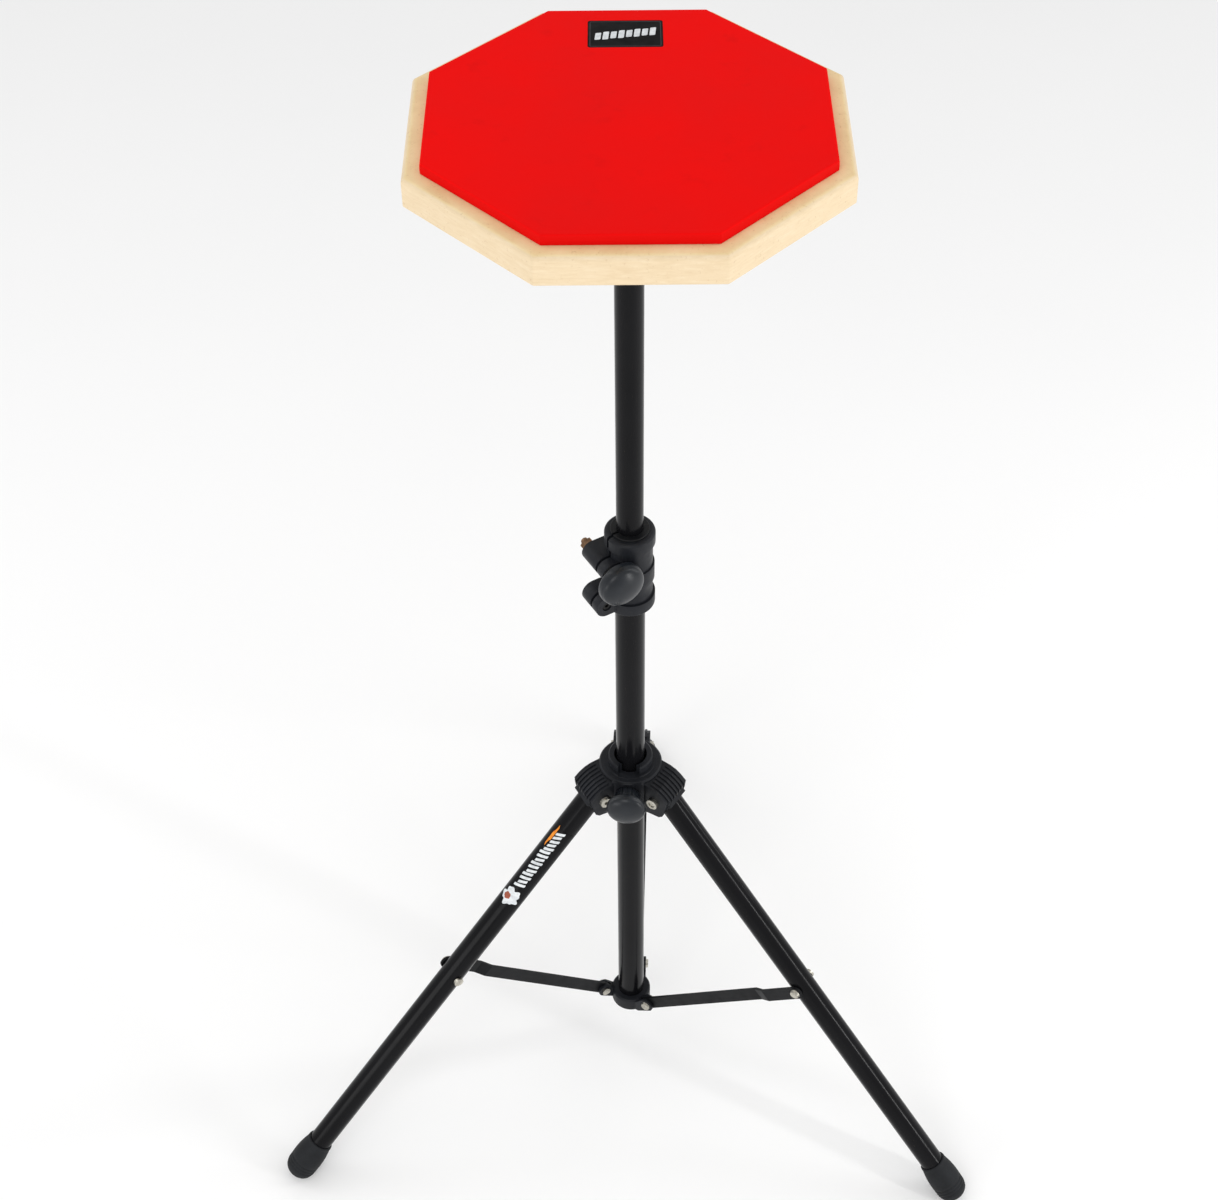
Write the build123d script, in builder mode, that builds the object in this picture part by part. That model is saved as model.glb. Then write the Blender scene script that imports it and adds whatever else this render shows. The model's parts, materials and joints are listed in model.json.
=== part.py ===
from build123d import *
import os
from math import asin, cos, degrees, radians, sin, sqrt

# Octagonal drum practice pad on a folding tripod stand.
# Millimetres, +Z up, the post axis is X = Y = 0, the floor is Z = 0, the front is -Y.

os.makedirs("parts", exist_ok=True)

# ---- driving dimensions ---------------------------------------------------
# playing head
pad_top_height = 1078.0
pad_width = 275.0
pad_thickness = 8.0
board_width = 300.0
board_thickness = 22.0
board_edge_radius = 4.0
label_width = 53.0
label_depth = 36.0
label_centre_x = -1.5
label_centre_y = 104.0
label_pocket = 0.6
label_thickness = 0.5

# mounting plate under the board and the stud on the mast
plate_radius = 32.0
plate_thickness = 3.0
plate_boss_radius = 9.0
plate_boss_height = 15.0
plate_screw_circle = 23.0
stud_radius = 4.0
thread_clearance = 0.06

# telescopic mast
upper_tube_radius = 11.0
upper_tube_length = 528.0
lower_tube_radius = 12.5
tube_wall = 1.2
lower_tube_bottom = 50.0
lower_tube_top = 647.0
slide_clearance = 0.06
press_clearance = 0.02

# height clamp on top of the lower tube
clamp_bottom = 617.0
clamp_top = 697.0
clamp_radius = 18.6
clamp_rim_radius = 20.7
clamp_ring_radius = 20.6
clamp_band_radius = 20.0
clamp_turn = 210.6
clamp_slit = 2.5
clamp_bolt_height = 667.0
clamp_bolt_offset = 22.5
clamp_bolt_radius = 3.0
clamp_screw_height = 630.5
clamp_screw_offset = 27.0
clamp_screw_radius = 2.0
clamp_knob_radius = 19.5

# tripod
tripod_turn = -2.6
leg_turns = {"left": 210.0 + tripod_turn, "right": 330.0 + tripod_turn, "rear": 90.0 + tripod_turn}
leg_pivot_radius = 34.0
leg_pivot_height = 394.0
leg_angle = 40.6
leg_tube_radius = 11.0
leg_tube_start = 12.0
leg_tube_end = 482.0
leg_end_width = 24.0
pivot_pin_radius = 3.0

# sliding hub
hub_top = 424.0
hub_deck = 415.0
hub_bottom = 374.0
hub_ring_radius = 28.0
hub_collar_radius = 19.6
hub_sleeve_radius = 19.5
hub_bush_radius = 14.5
yoke_gap = 24.8
yoke_wall = 4.0
rib_pitch = 4.2
rib_width = 2.0
hub_knob_height = 400.0
hub_knob_turn = 267.0 + tripod_turn
hub_knob_radius = 17.5
hub_knob_neck = 11.5

# braces and lower collar
collar_bottom = 52.0
collar_top = 68.0
collar_radius = 19.0
brace_pivot_radius = 26.0
brace_pivot_height = 70.0
brace_pin_radius = 2.5
brace_reach = 235.0
brace_width = 13.0
brace_thickness = 2.5
brace_offset = 9.5
brace_outer_offset = 12.9
brace_joggle_start = 52.0
brace_joggle_end = 40.0

# rubber feet
foot_length = 45.0
foot_end = 513.0
foot_radius = 14.0

# ---- worked out from the dimensions above ---------------------------------
board_top = pad_top_height - pad_thickness
board_bottom = board_top - board_thickness
upper_tube_top = board_bottom - 20.0
upper_tube_bottom = upper_tube_top - upper_tube_length
upper_tube_bore = upper_tube_radius - tube_wall
lower_tube_bore = lower_tube_radius - tube_wall
leg_tube_bore = leg_tube_radius - tube_wall
leg_slope = radians(leg_angle)
brace_joint_radius = leg_pivot_radius + brace_reach * sin(leg_slope)
brace_joint_height = leg_pivot_height - brace_reach * cos(leg_slope)
brace_rise = brace_joint_height - brace_pivot_height
brace_run = brace_joint_radius - brace_pivot_radius
brace_length = sqrt(brace_rise**2 + brace_run**2)
yoke_half = yoke_gap / 2 + yoke_wall


# ---- reference planes -----------------------------------------------------
def outward(turn):
    """Horizontal direction away from the post."""
    return Vector(cos(radians(turn)), sin(radians(turn)), 0)


def sideways(turn):
    """Horizontal direction a quarter turn clockwise of outward(turn), seen from above."""
    return Vector(sin(radians(turn)), -cos(radians(turn)), 0)


def fold_plane(turn, offset=0.0):
    """Upright plane through the post axis: x outward, y up, z to the clockwise side."""
    return Plane(origin=sideways(turn) * offset, x_dir=outward(turn), z_dir=sideways(turn))


def facing_plane(turn, distance, height):
    """Upright plane facing outward: x sideways, z outward."""
    origin = outward(turn) * distance + Vector(0, 0, height)
    return Plane(origin=origin, x_dir=sideways(turn), z_dir=outward(turn))


def leg_plane(turn, distance):
    """Plane square to a leg's centre line, a distance below its pivot."""
    along = outward(turn) * sin(leg_slope) - Vector(0, 0, cos(leg_slope))
    origin = outward(turn) * leg_pivot_radius + Vector(0, 0, leg_pivot_height) + along * distance
    return Plane(origin=origin, x_dir=sideways(turn), z_dir=along)


def leg_side_plane(turn):
    """Upright plane of a leg: origin at the pivot, x down along the leg, z clockwise."""
    along = outward(turn) * sin(leg_slope) - Vector(0, 0, cos(leg_slope))
    origin = outward(turn) * leg_pivot_radius + Vector(0, 0, leg_pivot_height)
    return Plane(origin=origin, x_dir=along, z_dir=sideways(turn))


def clamp_plane(offset, distance, height):
    """Plane square to a clamp bolt, a distance towards the knob end from the slit."""
    toward_knob = -sideways(clamp_turn)
    origin = outward(clamp_turn) * offset + toward_knob * distance + Vector(0, 0, height)
    return Plane(origin=origin, x_dir=outward(clamp_turn), z_dir=toward_knob)


def dome_middle(start, radius, height):
    """Point halfway round a spherical cap that rises from a rim to the turning axis."""
    ball = (height**2 + radius**2) / (2 * height)
    half = asin(radius / ball) / 2
    return (start + height - ball + ball * cos(half), ball * sin(half))


# ---- playing head ---------------------------------------------------------
with BuildPart() as pad_board:
    with BuildSketch(Plane.XY.offset(board_bottom)):
        RegularPolygon(board_width / 2, 8, major_radius=False, rotation=22.5)
    extrude(amount=board_thickness)
    fillet(pad_board.edges().filter_by(Axis.Z), 3.0)
    fillet(pad_board.faces().sort_by(Axis.Z)[-1].edges(), board_edge_radius)
    chamfer(pad_board.faces().sort_by(Axis.Z)[0].edges(), 0.8)
    with BuildSketch(Plane.XY.offset(board_bottom)):
        Circle(plate_boss_radius + press_clearance)
    extrude(amount=plate_boss_height, mode=Mode.SUBTRACT)
    with BuildSketch(Plane.XY.offset(board_bottom)):
        with PolarLocations(plate_screw_circle, 4, start_angle=45):
            Circle(2.0 + press_clearance)
    extrude(amount=14, mode=Mode.SUBTRACT)
pad_board.part.label = "pad_board"
export_step(pad_board.part, "parts/pad_board.step")

with BuildPart() as striking_pad:
    with BuildSketch(Plane.XY.offset(board_top)):
        RegularPolygon(pad_width / 2, 8, major_radius=False, rotation=22.5)
    extrude(amount=pad_thickness)
    fillet(striking_pad.edges().filter_by(Axis.Z), 1.5)
    fillet(striking_pad.faces().sort_by(Axis.Z)[-1].edges(), 1.0)
    with BuildSketch(Plane.XY.offset(pad_top_height - label_pocket)):
        with Locations((label_centre_x, label_centre_y)):
            RectangleRounded(label_width + 0.2, label_depth + 0.2, 2.1)
    extrude(amount=label_pocket, mode=Mode.SUBTRACT)
striking_pad.part.label = "striking_pad"
export_step(striking_pad.part, "parts/striking_pad.step")

with BuildPart() as label_patch:
    with BuildSketch(Plane.XY.offset(pad_top_height - label_pocket)):
        with Locations((label_centre_x, label_centre_y)):
            RectangleRounded(label_width, label_depth, 2.0)
    extrude(amount=label_thickness)
label_patch.part.label = "label_patch"
export_step(label_patch.part, "parts/label_patch.step")

with BuildPart() as mount_plate:
    with BuildSketch(Plane.XY.offset(board_bottom - plate_thickness)):
        Circle(plate_radius)
        with PolarLocations(plate_screw_circle, 4, start_angle=45):
            Circle(2.3, mode=Mode.SUBTRACT)
    extrude(amount=plate_thickness)
    chamfer(mount_plate.faces().sort_by(Axis.Z)[0].edges().sort_by(SortBy.LENGTH)[-1], 0.8)
    with BuildSketch(Plane.XY.offset(board_bottom)):
        Circle(plate_boss_radius)
    extrude(amount=plate_boss_height - 0.2)
    with BuildSketch(Plane.XY.offset(board_bottom - plate_thickness)):
        Circle(stud_radius + thread_clearance)
    extrude(amount=plate_boss_height + plate_thickness - 1.5, mode=Mode.SUBTRACT)
mount_plate.part.label = "mount_plate"
export_step(mount_plate.part, "parts/mount_plate.step")

with BuildPart() as mount_plate_screws:
    with BuildSketch(Plane.XY.offset(board_bottom - plate_thickness)):
        with PolarLocations(plate_screw_circle, 4, start_angle=45):
            Circle(2.0)
    extrude(amount=plate_thickness + 13)
    with BuildSketch(Plane.XY.offset(board_bottom - plate_thickness - 2.4)):
        with PolarLocations(plate_screw_circle, 4, start_angle=45):
            Circle(4.0)
    extrude(amount=2.4)
    fillet(mount_plate_screws.faces().sort_by(Axis.Z)[:4].edges(), 1.2)
    with BuildSketch(Plane.XY.offset(board_bottom - plate_thickness - 2.4)):
        with PolarLocations(plate_screw_circle, 4, start_angle=45):
            Rectangle(3.4, 0.9)
            Rectangle(0.9, 3.4)
    extrude(amount=1.2, mode=Mode.SUBTRACT)
mount_plate_screws.part.label = "mount_plate_screws"
export_step(mount_plate_screws.part, "parts/mount_plate_screws.step")

# ---- mast -----------------------------------------------------------------
with BuildPart() as upper_tube:
    with BuildSketch(Plane.XY.offset(upper_tube_bottom)):
        Circle(upper_tube_radius)
        Circle(upper_tube_bore, mode=Mode.SUBTRACT)
    extrude(amount=upper_tube_length)
upper_tube.part.label = "upper_tube"
export_step(upper_tube.part, "parts/upper_tube.step")

with BuildPart() as mast_plug:
    with BuildSketch(Plane.XY.offset(upper_tube_top - 24)):
        Circle(upper_tube_bore - press_clearance)
    extrude(amount=24)
    with BuildSketch(Plane.XY.offset(upper_tube_top)):
        Circle(upper_tube_radius + 0.6)
    extrude(amount=7)
    fillet(mast_plug.faces().sort_by(Axis.Z)[-1].edges(), 1.5)
    with BuildSketch(Plane.XY.offset(upper_tube_top - 14)):
        Circle(stud_radius + press_clearance)
    extrude(amount=21, mode=Mode.SUBTRACT)
mast_plug.part.label = "mast_plug"
export_step(mast_plug.part, "parts/mast_plug.step")

with BuildPart() as pad_stud:
    with BuildSketch(Plane.XY.offset(upper_tube_top - 14)):
        Circle(stud_radius)
    extrude(amount=46)
    chamfer(pad_stud.faces().sort_by(Axis.Z)[-1].edges(), 0.8)
pad_stud.part.label = "pad_stud"
export_step(pad_stud.part, "parts/pad_stud.step")

with BuildPart() as lock_nut:
    with BuildSketch(Plane.XY.offset(board_bottom - plate_thickness - 7.5)):
        RegularPolygon(6.5, 6, major_radius=False)
        Circle(stud_radius + press_clearance, mode=Mode.SUBTRACT)
    extrude(amount=6.5)
lock_nut.part.label = "lock_nut"
export_step(lock_nut.part, "parts/lock_nut.step")

with BuildPart() as lock_washer:
    with BuildSketch(Plane.XY.offset(upper_tube_top + 7)):
        Circle(8.0)
        Circle(stud_radius + press_clearance, mode=Mode.SUBTRACT)
    extrude(amount=1.5)
lock_washer.part.label = "lock_washer"
export_step(lock_washer.part, "parts/lock_washer.step")

with BuildPart() as mast_guide:
    with BuildSketch(Plane.XY.offset(upper_tube_bottom - 6)):
        Circle(lower_tube_bore - slide_clearance)
    extrude(amount=6)
    chamfer(mast_guide.faces().sort_by(Axis.Z)[0].edges(), 1.0)
    with BuildSketch(Plane.XY.offset(upper_tube_bottom)):
        Circle(upper_tube_bore - press_clearance)
    extrude(amount=18)
    with BuildSketch(Plane.XY.offset(upper_tube_bottom - 6)):
        Circle(6.5)
    extrude(amount=24, mode=Mode.SUBTRACT)
mast_guide.part.label = "mast_guide"
export_step(mast_guide.part, "parts/mast_guide.step")

with BuildPart() as lower_tube:
    with BuildSketch(Plane.XY.offset(lower_tube_bottom)):
        Circle(lower_tube_radius)
        Circle(lower_tube_bore, mode=Mode.SUBTRACT)
    extrude(amount=lower_tube_top - lower_tube_bottom)
lower_tube.part.label = "lower_tube"
export_step(lower_tube.part, "parts/lower_tube.step")

with BuildPart() as post_cap:
    with BuildSketch(Plane.XY.offset(lower_tube_bottom - 4)):
        Circle(lower_tube_radius + 0.4)
    extrude(amount=4)
    fillet(post_cap.faces().sort_by(Axis.Z)[0].edges(), 1.5)
    with BuildSketch(Plane.XY.offset(lower_tube_bottom)):
        Circle(lower_tube_bore - press_clearance)
    extrude(amount=14)
post_cap.part.label = "post_cap"
export_step(post_cap.part, "parts/post_cap.step")

# ---- height clamp ---------------------------------------------------------
with BuildPart() as clamp_housing:
    with BuildSketch(Plane.XY.offset(clamp_bottom)):
        Circle(clamp_radius)
    extrude(amount=clamp_top - clamp_bottom)
    with BuildSketch(Plane.XY.offset(clamp_top - 12)):
        Circle(clamp_rim_radius)
    extrude(amount=12)
    fillet(clamp_housing.faces().sort_by(Axis.Z)[-1].edges(), 3.0)
    with BuildSketch(Plane.XY.offset(646)):
        Circle(clamp_band_radius)
    extrude(amount=16)
    with BuildSketch(Plane.XY.offset(clamp_bottom)):
        Circle(clamp_ring_radius)
    extrude(amount=12)
    fillet(clamp_housing.faces().sort_by(Axis.Z)[0].edges(), 2.0)
    with BuildSketch(clamp_plane(clamp_bolt_offset, -23, clamp_bolt_height)):
        Circle(9.0)
        with Locations((-6, 0)):
            Rectangle(12, 18)
    extrude(amount=33)
    with BuildSketch(clamp_plane(clamp_screw_offset, -14.5, clamp_screw_height)):
        Circle(10.0)
        with Locations((-7, 0)):
            Rectangle(14, 20)
    extrude(amount=23.5)
    with BuildSketch(Plane.XY.offset(clamp_bottom)):
        Circle(lower_tube_radius + press_clearance)
    extrude(amount=lower_tube_top - clamp_bottom + 0.3, mode=Mode.SUBTRACT)
    with BuildSketch(Plane.XY.offset(lower_tube_top + 0.3)):
        Circle(14.5)
    extrude(amount=clamp_top - lower_tube_top - 0.3, mode=Mode.SUBTRACT)
    with BuildSketch(clamp_plane(30, -clamp_slit / 2, (clamp_bottom + clamp_top) / 2)):
        Rectangle(44, clamp_top - clamp_bottom + 2)
    extrude(amount=clamp_slit, mode=Mode.SUBTRACT)
    with BuildSketch(clamp_plane(clamp_bolt_offset, -25, clamp_bolt_height)):
        Circle(clamp_bolt_radius + slide_clearance)
    extrude(amount=47, mode=Mode.SUBTRACT)
    with BuildSketch(clamp_plane(clamp_screw_offset, -16, clamp_screw_height)):
        Circle(clamp_screw_radius + press_clearance)
    extrude(amount=30, mode=Mode.SUBTRACT)
    with BuildSketch(clamp_plane(clamp_screw_offset, 5.5, clamp_screw_height)):
        Circle(4.4)
    extrude(amount=10, mode=Mode.SUBTRACT)
clamp_housing.part.label = "clamp_housing"
export_step(clamp_housing.part, "parts/clamp_housing.step")

with BuildPart() as clamp_bush:
    with BuildSketch(Plane.XY.offset(lower_tube_top + 0.6)):
        Circle(14.5 - press_clearance)
    extrude(amount=clamp_top - lower_tube_top - 0.6)
    with BuildSketch(Plane.XY.offset(clamp_top)):
        Circle(16.0)
    extrude(amount=1.8)
    fillet(clamp_bush.faces().sort_by(Axis.Z)[-1].edges(), 0.8)
    with BuildSketch(Plane.XY.offset(lower_tube_top)):
        Circle(upper_tube_radius + slide_clearance)
    extrude(amount=60, mode=Mode.SUBTRACT)
    with BuildSketch(clamp_plane(14, -1.0, 675)):
        Rectangle(8, 70)
    extrude(amount=2.0, mode=Mode.SUBTRACT)
clamp_bush.part.label = "clamp_bush"
export_step(clamp_bush.part, "parts/clamp_bush.step")

knob_axis_plane = clamp_plane(clamp_bolt_offset, 0, clamp_bolt_height)
knob_axis = Axis(knob_axis_plane.origin, knob_axis_plane.z_dir)
knob_section = Plane(origin=knob_axis_plane.origin, x_dir=knob_axis_plane.z_dir, z_dir=(0, 0, 1))

with BuildPart() as clamp_knob:
    with BuildSketch(knob_section):
        with BuildLine():
            Polyline((12.0, 0), (12.0, 7.3), (15.0, 7.5), (16.5, 9.5), (18.6, 14.5), (19.9, 18.6))
            Polyline((19.9, 18.6), (20.8, clamp_knob_radius), (26.5, clamp_knob_radius))
            ThreePointArc((26.5, clamp_knob_radius), dome_middle(26.5, clamp_knob_radius, 8.5), (35.0, 0))
            Line((35.0, 0), (12.0, 0))
        make_face()
    revolve(axis=knob_axis)
    with BuildSketch(knob_axis_plane):
        Circle(clamp_bolt_radius + press_clearance)
    extrude(amount=24, mode=Mode.SUBTRACT)
clamp_knob.part.label = "clamp_knob"
export_step(clamp_knob.part, "parts/clamp_knob.step")

with BuildPart() as clamp_bolt:
    with BuildSketch(clamp_plane(clamp_bolt_offset, -35.5, clamp_bolt_height)):
        Circle(clamp_bolt_radius)
    extrude(amount=59)
    chamfer(clamp_bolt.faces().sort_by(Axis(knob_axis_plane.origin, knob_axis_plane.z_dir))[0].edges(), 0.7)
clamp_bolt.part.label = "clamp_bolt"
export_step(clamp_bolt.part, "parts/clamp_bolt.step")

with BuildPart() as clamp_washer:
    with BuildSketch(clamp_plane(clamp_bolt_offset, 10.1, clamp_bolt_height)):
        Circle(6.5)
        Circle(clamp_bolt_radius + slide_clearance, mode=Mode.SUBTRACT)
    extrude(amount=1.6)
clamp_washer.part.label = "clamp_washer"
export_step(clamp_washer.part, "parts/clamp_washer.step")

with BuildPart() as clamp_nut:
    with BuildSketch(clamp_plane(clamp_bolt_offset, -31, clamp_bolt_height)):
        RegularPolygon(5.0, 6, major_radius=False)
    extrude(amount=8)
    with BuildSketch(clamp_plane(clamp_bolt_offset, -31, clamp_bolt_height)):
        Circle(clamp_bolt_radius + slide_clearance)
    extrude(amount=8, mode=Mode.SUBTRACT)
clamp_nut.part.label = "clamp_nut"
export_step(clamp_nut.part, "parts/clamp_nut.step")

with BuildPart() as clamp_screw:
    with BuildSketch(clamp_plane(clamp_screw_offset, -17.0, clamp_screw_height)):
        Circle(clamp_screw_radius)
    extrude(amount=22.5)
    with BuildSketch(clamp_plane(clamp_screw_offset, 5.5, clamp_screw_height)):
        Circle(3.8)
    extrude(amount=2.6)
    with BuildSketch(clamp_plane(clamp_screw_offset, 6.7, clamp_screw_height)):
        RegularPolygon(1.5, 6, major_radius=False)
    extrude(amount=2, mode=Mode.SUBTRACT)
clamp_screw.part.label = "clamp_screw"
export_step(clamp_screw.part, "parts/clamp_screw.step")

with BuildPart() as clamp_screw_nut:
    with BuildSketch(clamp_plane(clamp_screw_offset, -17.7, clamp_screw_height)):
        RegularPolygon(3.5, 6, major_radius=False)
        Circle(clamp_screw_radius + press_clearance, mode=Mode.SUBTRACT)
    extrude(amount=3.2)
clamp_screw_nut.part.label = "clamp_screw_nut"
export_step(clamp_screw_nut.part, "parts/clamp_screw_nut.step")

# ---- sliding hub ----------------------------------------------------------
yoke_outline = [
    (14.0, 413.0),
    (24.0, 412.4),
    (31.0, 411.6),
    (37.5, 409.4),
    (43.0, 405.6),
    (48.0, 400.6),
    (47.4, 395.5),
    (43.5, 380.5),
    (40.0, 377.5),
    (14.0, 376.0),
]
yoke_room = [
    (22.2, 360.0),
    (22.2, 399.0),
    (25.0, 404.0),
    (29.5, 406.5),
    (34.0, 407.0),
    (38.5, 406.0),
    (43.0, 402.5),
    (49.5, 395.6),
    (62.0, 386.0),
    (62.0, 360.0),
]
rib_outline = [
    (29.0, 404.0),
    (29.0, 413.0),
    (31.3, 412.7),
    (38.1, 410.4),
    (43.8, 406.5),
    (49.2, 401.0),
    (48.5, 395.0),
    (46.6, 388.0),
]

with BuildPart() as hub_body:
    with BuildSketch(Plane.XZ):
        with BuildLine():
            Polyline(
                (0, hub_bottom),
                (hub_sleeve_radius, hub_bottom),
                (hub_sleeve_radius, 404),
                (hub_ring_radius, 406.5),
                (hub_ring_radius, 413.5),
                (hub_ring_radius - 1.5, hub_deck),
                (22.6, hub_deck),
                (22.2, hub_deck + 1.2),
                (hub_collar_radius, hub_deck + 1.2),
                (hub_collar_radius, hub_top - 1),
                (hub_collar_radius - 1, hub_top),
                (0, hub_top),
                (0, hub_bottom),
            )
        make_face()
    revolve(axis=Axis.Z)
    for turn in leg_turns.values():
        with BuildSketch(fold_plane(turn, -yoke_half)):
            Polygon(*yoke_outline, align=None)
        extrude(amount=2 * yoke_half)
        for rib in range(-3, 4):
            with BuildSketch(fold_plane(turn, rib_pitch * rib - rib_width / 2)):
                Polygon(*rib_outline, align=None)
            extrude(amount=rib_width)
    with BuildSketch(facing_plane(hub_knob_turn, 10, hub_knob_height)):
        RectangleRounded(29, 29, 3)
    extrude(amount=17.3)
    for turn in leg_turns.values():
        with BuildSketch(fold_plane(turn, -yoke_gap / 2)):
            Polygon(*yoke_room, align=None)
        extrude(amount=yoke_gap, mode=Mode.SUBTRACT)
        with BuildSketch(fold_plane(turn, -30)):
            with Locations((leg_pivot_radius, leg_pivot_height)):
                Circle(pivot_pin_radius + press_clearance)
        extrude(amount=60, mode=Mode.SUBTRACT)
    with BuildSketch(Plane.XY.offset(hub_bottom)):
        Circle(hub_bush_radius)
    extrude(amount=hub_top - hub_bottom, mode=Mode.SUBTRACT)
    with BuildSketch(facing_plane(hub_knob_turn, 13, hub_deck + 6)):
        Rectangle(19, 11)
    extrude(amount=20, mode=Mode.SUBTRACT)
    with BuildSketch(facing_plane(hub_knob_turn, 10, hub_knob_height)):
        Circle(4.0 + slide_clearance)
    extrude(amount=30, mode=Mode.SUBTRACT)
hub_body.part.label = "hub_body"
export_step(hub_body.part, "parts/hub_body.step")

with BuildPart() as hub_bush:
    with BuildSketch(Plane.XY.offset(hub_bottom - 2)):
        Circle(16.5)
    extrude(amount=2)
    with BuildSketch(Plane.XY.offset(hub_bottom)):
        Circle(hub_bush_radius - press_clearance)
    extrude(amount=36)
    with BuildSketch(Plane.XY.offset(hub_bottom - 2)):
        Circle(lower_tube_radius + slide_clearance)
    extrude(amount=38, mode=Mode.SUBTRACT)
    with BuildSketch(facing_plane(hub_knob_turn, 10, hub_knob_height)):
        Circle(4.0 + slide_clearance)
    extrude(amount=10, mode=Mode.SUBTRACT)
hub_bush.part.label = "hub_bush"
export_step(hub_bush.part, "parts/hub_bush.step")

with BuildPart() as hub_shoe:
    with BuildSketch(facing_plane(hub_knob_turn, 12.9, hub_knob_height)):
        Circle(3.9)
    extrude(amount=2.6)
hub_shoe.part.label = "hub_shoe"
export_step(hub_shoe.part, "parts/hub_shoe.step")

hub_knob_plane = facing_plane(hub_knob_turn, 0, hub_knob_height)
hub_knob_axis = Axis(hub_knob_plane.origin, hub_knob_plane.z_dir)
hub_knob_section = Plane(origin=hub_knob_plane.origin, x_dir=hub_knob_plane.z_dir, z_dir=(0, 0, 1))

with BuildPart() as hub_knob:
    with BuildSketch(hub_knob_section):
        with BuildLine():
            Polyline((28.2, 0), (28.2, hub_knob_neck), (38.8, hub_knob_neck), (40.2, 15.8), (41.6, 17.1))
            Polyline((41.6, 17.1), (42.6, hub_knob_radius), (45.0, hub_knob_radius))
            ThreePointArc((45.0, hub_knob_radius), dome_middle(45.0, hub_knob_radius, 7.5), (52.5, 0))
            Line((52.5, 0), (28.2, 0))
        make_face()
    revolve(axis=hub_knob_axis)
    with BuildSketch(facing_plane(hub_knob_turn, 27.5, hub_knob_height)):
        with PolarLocations(hub_knob_neck + 1.2, 16, start_angle=11.25):
            Circle(1.9)
    extrude(amount=9, mode=Mode.SUBTRACT)
    with BuildSketch(facing_plane(hub_knob_turn, 27.5, hub_knob_height)):
        Circle(4.0 + press_clearance)
    extrude(amount=14, mode=Mode.SUBTRACT)
hub_knob.part.label = "hub_knob"
export_step(hub_knob.part, "parts/hub_knob.step")

with BuildPart() as hub_knob_screw:
    with BuildSketch(facing_plane(hub_knob_turn, 15.8, hub_knob_height)):
        Circle(4.0)
    extrude(amount=25.4)
hub_knob_screw.part.label = "hub_knob_screw"
export_step(hub_knob_screw.part, "parts/hub_knob_screw.step")

with BuildPart() as leg_pivot_screws:
    for turn in leg_turns.values():
        with BuildSketch(fold_plane(turn, -yoke_half)):
            with Locations((leg_pivot_radius, leg_pivot_height)):
                Circle(pivot_pin_radius)
        extrude(amount=2 * yoke_half + 2.4)
        with BuildSketch(fold_plane(turn, -yoke_half - 2.6)):
            with Locations((leg_pivot_radius, leg_pivot_height)):
                Circle(5.2)
        extrude(amount=2.6, taper=-12)
        with BuildSketch(fold_plane(turn, -yoke_half - 2.6)):
            with Locations((leg_pivot_radius, leg_pivot_height)):
                RegularPolygon(1.9, 6, major_radius=False)
        extrude(amount=1.6, mode=Mode.SUBTRACT)
leg_pivot_screws.part.label = "leg_pivot_screws"
export_step(leg_pivot_screws.part, "parts/leg_pivot_screws.step")

with BuildPart() as leg_pivot_nuts:
    for turn in leg_turns.values():
        with BuildSketch(fold_plane(turn, yoke_half)):
            with Locations((leg_pivot_radius, leg_pivot_height)):
                Circle(5.2)
                Circle(pivot_pin_radius + press_clearance, mode=Mode.SUBTRACT)
        extrude(amount=3.2)
leg_pivot_nuts.part.label = "leg_pivot_nuts"
export_step(leg_pivot_nuts.part, "parts/leg_pivot_nuts.step")


# ---- legs -----------------------------------------------------------------
def make_leg_tube(turn, name):
    """Steel leg tube with the cross hole for the brace screw."""
    with BuildPart() as leg_tube:
        with BuildSketch(leg_plane(turn, leg_tube_start)):
            Circle(leg_tube_radius)
            Circle(leg_tube_bore, mode=Mode.SUBTRACT)
        extrude(amount=leg_tube_end - leg_tube_start)
        with BuildSketch(leg_side_plane(turn).offset(-15)):
            with Locations((brace_reach, 0)):
                Circle(brace_pin_radius + press_clearance)
        extrude(amount=30, mode=Mode.SUBTRACT)
    leg_tube.part.label = name
    export_step(leg_tube.part, f"parts/{name}.step")


def make_leg_end(turn, name):
    """Plastic leg end: an eye turning on the pivot screw and a spigot in the tube."""
    with BuildPart() as leg_end:
        with BuildSketch(leg_side_plane(turn).offset(-leg_end_width / 2)):
            Circle(leg_tube_radius)
            with Locations((leg_tube_start / 2, 0)):
                Rectangle(leg_tube_start, 2 * leg_tube_radius)
        extrude(amount=leg_end_width)
        with BuildSketch(leg_plane(turn, leg_tube_start)):
            Circle(leg_tube_bore - press_clearance)
        extrude(amount=26)
        with BuildSketch(leg_side_plane(turn).offset(-20)):
            Circle(pivot_pin_radius + slide_clearance)
        extrude(amount=40, mode=Mode.SUBTRACT)
    leg_end.part.label = name
    export_step(leg_end.part, f"parts/{name}.step")


def make_brace_screw(turn, name):
    """Screw across the leg that carries the brace: the head is on the other side."""
    with BuildPart() as brace_screw:
        with BuildSketch(leg_side_plane(turn).offset(-leg_tube_radius - 0.3)):
            with Locations((brace_reach, 0)):
                Circle(brace_pin_radius)
        extrude(amount=2 * leg_tube_radius + 0.3)
        with BuildSketch(leg_side_plane(turn).offset(-leg_tube_radius - 2.8)):
            with Locations((brace_reach, 0)):
                Circle(4.4)
        extrude(amount=2.5)
    brace_screw.part.label = name
    export_step(brace_screw.part, f"parts/{name}.step")


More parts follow.
